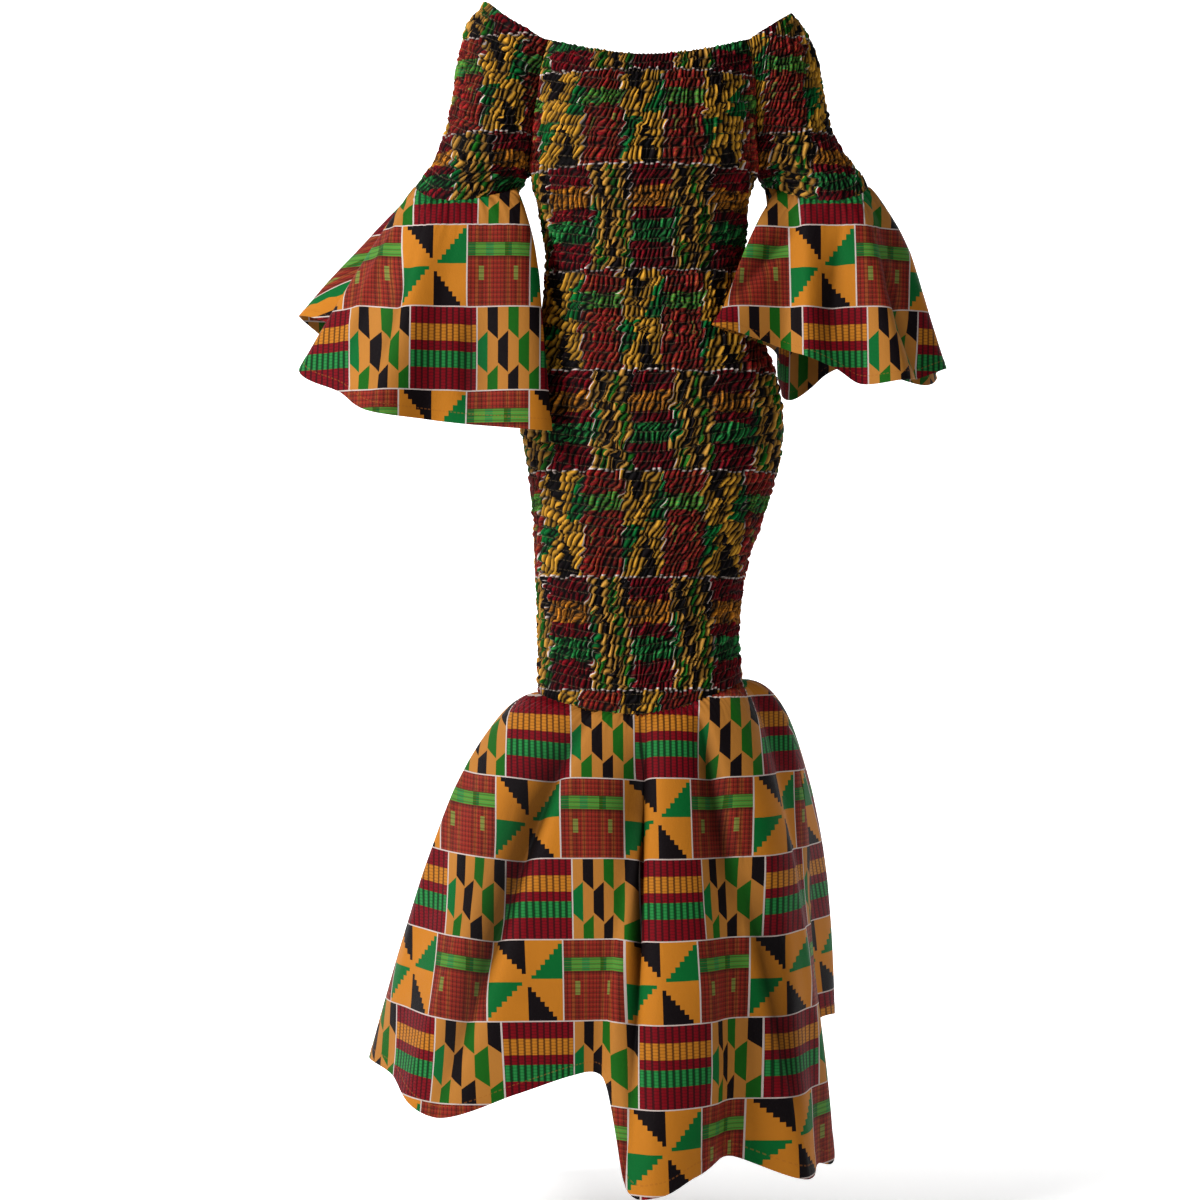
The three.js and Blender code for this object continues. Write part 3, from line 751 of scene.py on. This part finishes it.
# ---------------------------------------------------------------- bells
# A bell flounce of flat printed cotton is sewn to the lower edge of each sleeve, a little gathered, and
# swings out in flutes to a narrow hem, turned and stitched. The wearer's left elbow is bent, so that
# bell is shorter and swings forward.
Flute = namedtuple("Flute", "angle reach hem")  # round from the outside of the arm by the front
BELL_FLUTES = {
    "right": [
        Flute(0, 0.106, -0.251),
        Flute(22, 0.152, -0.306),
        Flute(47, 0.126, -0.336),
        Flute(72, 0.152, -0.360),
        Flute(98, 0.124, -0.368),
        Flute(120, 0.146, -0.374),
        Flute(144, 0.194, -0.380),
        Flute(161, 0.126, -0.372),
        Flute(180, 0.106, -0.364),
        Flute(205, 0.124, -0.358),
        Flute(228, 0.146, -0.352),
        Flute(252, 0.120, -0.344),
        Flute(277, 0.150, -0.324),
        Flute(300, 0.122, -0.298),
        Flute(321, 0.144, -0.264),
        Flute(342, 0.161, -0.230),
    ],
    "left": [
        Flute(0, 0.112, -0.303),
        Flute(20, 0.126, -0.302),
        Flute(42, 0.112, -0.316),
        Flute(64, 0.140, -0.321),
        Flute(85, 0.116, -0.326),
        Flute(99, 0.122, -0.308),
        Flute(112, 0.140, -0.295),
        Flute(127, 0.132, -0.284),
        Flute(143, 0.204, -0.258),
        Flute(151, 0.138, -0.268),
        Flute(160, 0.096, -0.276),
        Flute(180, 0.078, -0.288),
        Flute(203, 0.084, -0.298),
        Flute(224, 0.100, -0.314),
        Flute(246, 0.130, -0.327),
        Flute(264, 0.104, -0.296),
        Flute(282, 0.134, -0.284),
        Flute(302, 0.112, -0.296),
        Flute(322, 0.136, -0.311),
        Flute(341, 0.124, -0.308),
    ],
}
BELL_MIDDLE = {"right": (-0.262, 0), "left": (0.244, 0.002)}
Puff = namedtuple("Puff", "outside inside")  # powers of the swell from the seam: low swells at once
BELL_PUFF = {"right": Puff(0.9, 0.4), "left": Puff(0.7, 0.8)}
BELL_PAIR_START = {"right": -0.2676, "left": 0.186}
BELL_FACETS = (221, 96)
PRINTED_SHELL = 0.0009
HEM = 0.010
BELL_FIRST_ROW = -0.136  # where row 1 of the print begins
BELL_ROW = 0.0985
STRANDS = 720  # that a fluted ring is measured with


def all_round(flutes):
    """A table by angle, with a row before and two after it, so that it can be read right round."""

    def turned(flute, degrees):
        return flute._replace(angle=flute.angle + degrees)

    return [turned(flutes[-1], -360), *flutes, turned(flutes[0], 360), turned(flutes[1], 360)]


def spread_evenly(points, values, columns):
    """The same row of points at even distances, with values read at the same places."""
    total = [0]
    for a, b in zip(points, points[1:]):
        total.append(total[-1] + (b - a).length)
    even_points, even_values, i = [], [], 0
    for column in range(columns + 1):
        wanted = total[-1] * column / columns
        while i < len(points) - 2 and total[i + 1] <= wanted:
            i += 1
        share = min(max((wanted - total[i]) / (total[i + 1] - total[i]), 0), 1)
        even_points.append(points[i].lerp(points[i + 1], share))
        even_values.append(mix(values[i], values[i + 1], share))
    return even_points, even_values


def bell_rows(arm):
    """A bell's rows, from its hem up to its seam.

    A strand runs from the sleeve to its own place on the hem. The print is laid from the middle of the
    front and of the back, and breaks in one narrow column outside the arm.
    """
    side = SIDE_OF[arm]
    flutes = all_round(BELL_FLUTES[arm])
    middle_x, middle_y = BELL_MIDDLE[arm]
    strands = []
    for i in range(STRANDS + 1):
        degrees = 180 - 360 * i / STRANDS
        wrap = -degrees / 180
        flute = row_at(flutes, degrees % 360)
        c, s = math.cos(math.radians(degrees)), math.sin(math.radians(degrees))
        top = sleeve_point(arm, wrap, sleeve_hem_z(wrap))
        hem = Vector((middle_x + side * flute.reach * c, middle_y - flute.reach * s, flute.hem))
        strands.append((top, hem, mix(BELL_PUFF[arm].inside, BELL_PUFF[arm].outside, (1 + c) / 2)))

    def lay(up, columns):
        down = (1 - up) ** 1.1
        ring = []
        for top, hem, puff in strands:
            point = top.lerp(hem, down**puff)
            point.z = mix(top.z, hem.z, down)
            ring.append(point)
        points, pairs = [], []
        for first, turn in ((0, 1), (STRANDS // 2, -1)):
            half_ring = ring[first : first + STRANDS // 2 + 1]
            middle = STRANDS // 4
            start = turn * (half_ring[middle].x - BELL_PAIR_START[arm])
            half_pairs = [(start + side * length) / PAIR for length in along(half_ring, middle, FLATNESS)]
            even_points, even_pairs = spread_evenly(half_ring, half_pairs, (columns - 1) // 2)
            points += even_points
            pairs += even_pairs
        outside = (columns - 1) // 2
        points[outside + 1] = points[outside].lerp(points[outside + 2], 0.1)
        rows = [1 + (BELL_FIRST_ROW - point.z) / BELL_ROW for point in points]
        return points, list(zip(pairs, rows))

    return lay


DARK_FOLD = 0.019  # a fold this deep gets the darkest painted shade
GATHER = 0.0030  # height of the small gathers under a seam
GATHER_LENGTH = 0.028
Crease = namedtuple("Crease", "across up to_across to_up before after height")


def drape(width, length, gathers, creases, seed):
    """Soft folds laid one by one, small gathers under the seam, and a turned hem.

    A crease runs between two places on the piece. It spreads as far as before and after say to either
    side, and stands out by its height, or sinks where that is below 0. Shade is painted between the
    gathers and into the sunken folds, through the crest.
    """

    def relief(across, up):
        fold = 0
        for crease in creases:
            x, y = (across - crease.across) * width, (up - crease.up) * length
            run_x = (crease.to_across - crease.across) * width
            run_y = (crease.to_up - crease.up) * length
            share = (x * run_x + y * run_y) / (run_x**2 + run_y**2)
            if -0.3 < share < 1.3:
                near = min(max(share, 0), 1)
                spread = crease.before if x < near * run_x else crease.after
                off = math.hypot(x - near * run_x, y - near * run_y) / spread
                ends = min(1, 0.25 + 2.2 * near, 0.25 + 2.2 * (1 - near))
                fold += crease.height * ends * math.exp(-(off**1.5))
        below_seam = (1 - up) * length
        wander = noise.noise(Vector((across * 40, up * 3, seed)))
        gather = abs(math.sin(math.pi * (across * gathers + 0.8 * wander)))
        height = fold + GATHER * (gather - 0.5) * math.exp(-below_seam / GATHER_LENGTH)
        height += 0.0010 * noise.noise(Vector((across * width * 16, up * length * 12, seed)))
        from_hem = up * length
        if from_hem < HEM:
            height += 0.0004
        # The crest sets painted shade: low between the small gathers under the seam, and lower still in a
        # sinking fold, darkest at DARK_FOLD deep.
        crest = min(mix(gather, 1, min(1, 0.35 + below_seam / 0.03)), 1 + fold / DARK_FOLD)
        return Relief(crest, height - 0.0004, 0, 0, min(max(from_hem / HEM, 0.5), 1.5))

    return relief


BELL_CREASES = {
    "right": [
        Crease(0.41, 0.85, 0.37, 0.00, 0.034, 0.012, 0.011),
        Crease(0.33, 0.75, 0.31, 0.05, 0.012, 0.030, -0.008),
        Crease(0.22, 0.50, 0.20, 0.00, 0.026, 0.010, -0.009),
        Crease(0.11, 0.85, 0.07, 0.10, 0.022, 0.012, 0.006),
        Crease(0.62, 0.80, 0.60, 0.05, 0.018, 0.018, 0.007),
        Crease(0.72, 0.90, 0.76, 0.10, 0.018, 0.018, -0.007),
        Crease(0.84, 0.75, 0.86, 0.00, 0.016, 0.016, 0.007),
    ],
    "left": [
        Crease(0.19, 0.85, 0.13, 0.05, 0.024, 0.010, -0.009),
        Crease(0.28, 0.80, 0.28, 0.05, 0.026, 0.012, -0.008),
        Crease(0.37, 0.70, 0.41, 0.00, 0.024, 0.010, -0.010),
        Crease(0.46, 0.85, 0.50, 0.10, 0.016, 0.016, 0.006),
        Crease(0.60, 0.85, 0.62, 0.05, 0.018, 0.018, -0.007),
        Crease(0.72, 0.80, 0.70, 0.00, 0.018, 0.018, 0.007),
        Crease(0.86, 0.80, 0.90, 0.05, 0.016, 0.016, -0.006),
    ],
}
BELL_GATHERS = 46
BELL_CUT = (0.98, 0.30)
BELL_CLOTH = 0.19  # square metres, as its seam is much shorter than its hem
for arm, seed in (("right", 41), ("left", 55)):
    folds = drape(0.86, 0.24, BELL_GATHERS, BELL_CREASES[arm], seed)
    bell = sew(
        "bell_sleeve_" + arm, bell_rows(arm), SIDE_OF[arm], BELL_FACETS, BELL_FACETS, folds,
        PRINTED_SHELL,
    )
    fasten(
        bell, "bell_" + arm, "printed_cotton", printed_cotton,
        flat=BELL_CUT, area=BELL_CLOTH, held="hung",
    )


# ---------------------------------------------------------------- flounce
# A wide flounce, cut as a front and a back, is sewn round the knee. It swells at once below its seam
# and falls in flutes. Its hem is higher on the wearer's right of the front, and steps down past it.
Ripple = namedtuple("Ripple", "angle swell hem belly")
FLOUNCE_FLUTES = all_round([
    Ripple(0, -0.003, -1.124, 0.46),
    Ripple(20, -0.020, -1.130, 0.47),
    Ripple(47, 0.018, -1.158, 0.52),
    Ripple(64, -0.014, -1.132, 0.60),
    Ripple(80, -0.032, -1.112, 0.64),
    Ripple(89, -0.036, -1.112, 0.64),
    Ripple(92, -0.014, -1.136, 0.62),
    Ripple(95, 0.022, -1.222, 0.60),
    Ripple(102, 0.044, -1.234, 0.56),
    Ripple(113, 0.026, -1.216, 0.56),
    Ripple(129, -0.026, -1.206, 0.56),
    Ripple(143, 0.016, -1.234, 0.56),
    Ripple(157, -0.010, -1.230, 0.60),
    Ripple(168, -0.006, -1.226, 0.66),
    Ripple(179, -0.038, -1.100, 0.45),
    Ripple(196, 0.009, -1.084, 0.41),
    Ripple(216, -0.026, -1.112, 0.46),
    Ripple(238, 0.034, -1.156, 0.52),
    Ripple(261, -0.032, -1.148, 0.58),
    Ripple(284, 0.036, -1.164, 0.56),
    Ripple(307, -0.030, -1.150, 0.54),
    Ripple(330, 0.024, -1.158, 0.48),
    Ripple(346, -0.014, -1.138, 0.47),
])
HEM_OVAL = Level(0, -0.044, 0.284, 0.226, 0.246)
FLUTE_GROWTH = 1.25
FLOUNCE_FACETS = (236, 160)
FLOUNCE_PAIR_START = -0.009
FLOUNCE_FIRST_ROW = -0.780  # where row 1 of the print begins
FLOUNCE_ROW = 0.0905


def flounce_rows(face):
    """The flounce's rows, from its hem up to its seam."""
    turn = 1 if face == "front" else -1
    strands = []
    for i in range(STRANDS + 1):
        degrees = turn * 180 * i / STRANDS
        angle = math.radians(degrees)
        seam_z = flare_seam_z(angle)
        seam = row_at(BODY, seam_z)
        side = "front" if math.sin(angle) > 0 else "back"
        strands.append((
            angle,
            seam_z,
            seam.middle,
            oval_radius(seam.half, getattr(seam, side), angle),
            oval_radius(HEM_OVAL.half, getattr(HEM_OVAL, side), angle),
            row_at(FLOUNCE_FLUTES, degrees % 360),
        ))

    def lay(up, columns):
        down = (1 - up) ** 1.4
        ring, ground = [], []
        for angle, seam_z, seam_middle, seam_radius, hem_radius, flute in strands:
            smooth = mix(seam_radius, hem_radius, down**flute.belly)
            r = smooth + flute.swell * down**FLUTE_GROWTH
            middle = mix(seam_middle, HEM_OVAL.middle, down)
            ring.append(Vector((
                middle - r * math.cos(angle), -r * math.sin(angle), mix(seam_z, flute.hem, down)
            )))
            ground.append(Vector((middle - smooth * math.cos(angle), -smooth * math.sin(angle), 0)))
        front = STRANDS // 2
        start = turn * (ground[front].x - FLOUNCE_PAIR_START)
        pairs = [(start + turn * length) / PAIR for length in along(ground, front, FLATNESS)]
        points, pairs = spread_evenly(ring, pairs, columns)
        rows = [1 + (FLOUNCE_FIRST_ROW - point.z) / FLOUNCE_ROW for point in points]
        return points, list(zip(pairs, rows))

    return lay


FLOUNCE_CREASES = {
    "front": [
        Crease(0.35, 0.92, 0.20, 0.02, 0.052, 0.015, -0.024),
        Crease(0.24, 0.55, 0.15, 0.02, 0.020, 0.040, 0.008),
        Crease(0.51, 0.90, 0.505, 0.08, 0.048, 0.014, -0.022),
        Crease(0.43, 0.50, 0.42, 0.00, 0.030, 0.030, 0.008),
        Crease(0.665, 0.95, 0.705, 0.42, 0.034, 0.011, -0.015),
        Crease(0.72, 0.50, 0.76, 0.08, 0.014, 0.044, -0.015),
        Crease(0.62, 0.45, 0.64, 0.00, 0.030, 0.030, 0.009),
        Crease(0.83, 0.70, 0.86, 0.08, 0.026, 0.026, 0.006),
        Crease(0.06, 0.85, 0.05, 0.15, 0.024, 0.024, 0.007),
    ],
    "back": [
        Crease(0.10, 0.85, 0.08, 0.05, 0.036, 0.016, 0.012),
        Crease(0.24, 0.92, 0.20, 0.05, 0.014, 0.040, -0.014),
        Crease(0.36, 0.80, 0.35, 0.00, 0.030, 0.030, 0.010),
        Crease(0.47, 0.94, 0.49, 0.10, 0.014, 0.038, -0.014),
        Crease(0.60, 0.85, 0.62, 0.00, 0.030, 0.030, 0.010),
        Crease(0.73, 0.92, 0.77, 0.05, 0.038, 0.014, -0.014),
        Crease(0.88, 0.80, 0.91, 0.05, 0.026, 0.026, 0.009),
    ],
}
FLOUNCE_GATHERS = 60
FLOUNCE_CUT = (0.95, 0.60)
FLOUNCE_CLOTH = 0.38  # square metres
for face, facing, seed in (("front", 1, 61), ("back", -1, 73)):
    folds = drape(0.80, 0.50, FLOUNCE_GATHERS, FLOUNCE_CREASES[face], seed)
    half = sew(
        "flounce_half_" + face, flounce_rows(face), facing, FLOUNCE_FACETS, FLOUNCE_FACETS, folds,
        PRINTED_SHELL,
    )
    fasten(
        half, "flounce_" + face, "printed_cotton", printed_cotton,
        flat=FLOUNCE_CUT, area=FLOUNCE_CLOTH, held="hung",
    )


# ---------------------------------------------------------------- studio
# A pale floor that curves up into a backdrop, one large soft light from high on the viewer's left, a
# weak one from the right, and light from all round. The paper itself glows, a painted light that is
# bright behind the dress.
FLOOR = -1.32
SWEEP = [(-6, 0), (2.6, 0), (3.4, 0.12), (3.9, 0.5), (4.1, 1.2), (4.1, 7)]
studio = bmesh.new()
corners = [studio.verts.new((-6, y, z)) for y, z in SWEEP]
edges = [studio.edges.new(pair) for pair in zip(corners, corners[1:])]
swept = bmesh.ops.extrude_edge_only(studio, edges=edges)["geom"]
far_side = [part for part in swept if isinstance(part, bmesh.types.BMVert)]
bmesh.ops.translate(studio, vec=(12, 0, 0), verts=far_side)
bmesh.ops.translate(studio, vec=(0, 0, FLOOR), verts=studio.verts)
bmesh.ops.recalc_face_normals(studio, faces=studio.faces)
backdrop_mesh = bpy.data.meshes.new("backdrop")
studio.to_mesh(backdrop_mesh)
studio.free()
backdrop = bpy.data.objects.new("backdrop", backdrop_mesh)
bpy.context.scene.collection.objects.link(backdrop)
for face in backdrop_mesh.polygons:
    face.use_smooth = True

# The paper glows as painted light: brightly behind the dress, which it lights from behind, and little
# before it.
glowing_paper = bpy.data.materials.new("glowing_paper")
glowing_paper.use_nodes = True
nodes, links = glowing_paper.node_tree.nodes, glowing_paper.node_tree.links
shader = nodes["Principled BSDF"]
shader.inputs["Base Color"].default_value = dye(246, 246, 246)
shader.inputs["Roughness"].default_value = 0.9
shader.inputs["Emission Color"].default_value = (1, 1, 1, 1)
spot = nodes.new("ShaderNodeTexCoord")
depth = nodes.new("ShaderNodeSeparateXYZ")
glow = nodes.new("ShaderNodeMapRange")
glow.inputs["From Min"].default_value = -0.4
glow.inputs["From Max"].default_value = 0.9
glow.inputs["To Min"].default_value = 0.12
glow.inputs["To Max"].default_value = 0.95
links.new(spot.outputs["Object"], depth.inputs[0])
links.new(depth.outputs["Y"], glow.inputs["Value"])
links.new(glow.outputs["Result"], shader.inputs["Emission Strength"])
backdrop.data.materials.append(glowing_paper)

MIDDLE = Vector((0, 0, -0.55))  # of the dress
Lamp = namedtuple("Lamp", "name power size place")
for lamp in (
    Lamp("key", 205, 1.2, (-3.0, -2.0, 1.6)),
    Lamp("fill", 14, 2.6, (2.2, -3.0, 0.2)),
):
    light = bpy.data.lights.new(lamp.name, "AREA")
    light.energy = lamp.power
    light.size = lamp.size
    holder = bpy.data.objects.new(lamp.name, light)
    holder.location = lamp.place
    toward = MIDDLE - Vector(lamp.place)
    holder.rotation_euler = toward.to_track_quat("-Z", "Y").to_euler()
    bpy.context.scene.collection.objects.link(holder)

world = bpy.data.worlds.new("studio")
world.use_nodes = True
world.node_tree.nodes["Background"].inputs["Color"].default_value = (1, 1, 1, 1)
world.node_tree.nodes["Background"].inputs["Strength"].default_value = 0.16
bpy.context.scene.world = world
bpy.context.scene.view_settings.view_transform = "Standard"

lens = bpy.data.cameras.new("camera")
lens.lens = 80
lens.sensor_width = 36
camera = bpy.data.objects.new("camera", lens)
camera.location = (-0.048, -3.2, -0.576)
camera.rotation_euler = (math.pi / 2, 0, 0)
bpy.context.scene.collection.objects.link(camera)
bpy.context.scene.camera = camera
